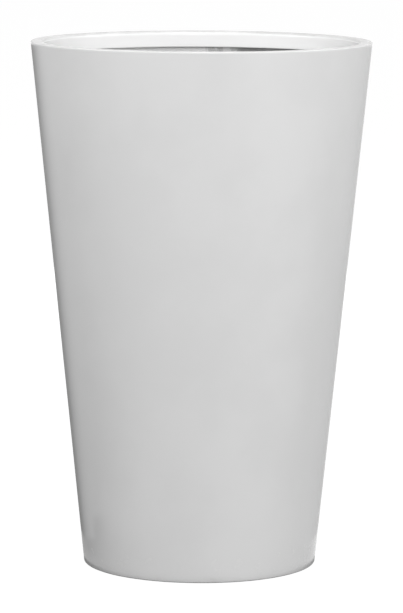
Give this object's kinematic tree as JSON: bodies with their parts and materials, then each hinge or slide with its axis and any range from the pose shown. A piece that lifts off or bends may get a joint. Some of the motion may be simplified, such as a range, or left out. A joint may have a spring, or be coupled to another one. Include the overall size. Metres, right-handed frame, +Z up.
{
  "type": "tall tapered planter",
  "caption": "Tall round planter with straight tapered sides, a flat return rim, a bonded floor raised on a standing ring, and a pull-out drain plug.",
  "frame": {"origin": "on the ground, under the middle of the foot", "axes": "+Z up along the pot's axis, -Y towards the viewer of the front, +X to the right"},
  "size_m": [0.4396, 0.4396, 0.681],
  "materials": {
    "white_gelcoat": "glossy white lacquer over laminate, slightly wavy",
    "raw_laminate": "uncoated grey fibreglass with chopped strands showing",
    "black_rubber": "matt moulded rubber"
  },
  "bodies": {
    "planter": {"outer_shell": "white_gelcoat", "rim_collar": "white_gelcoat", "rim_core": "raw_laminate", "floor_pan": "raw_laminate", "floor_tabbing": "raw_laminate", "foot_pad_back_right": "black_rubber", "foot_pad_back_left": "black_rubber", "foot_pad_front_left": "black_rubber", "foot_pad_front_right": "black_rubber"},
    "plug": {"drain_plug": "black_rubber"}
  },
  "joints": [
    {"name": "plug_pull", "type": "slide", "parent": "planter", "child": "plug", "axis": [0, 0, 1], "range_m": [0, 0.7]}
  ]
}
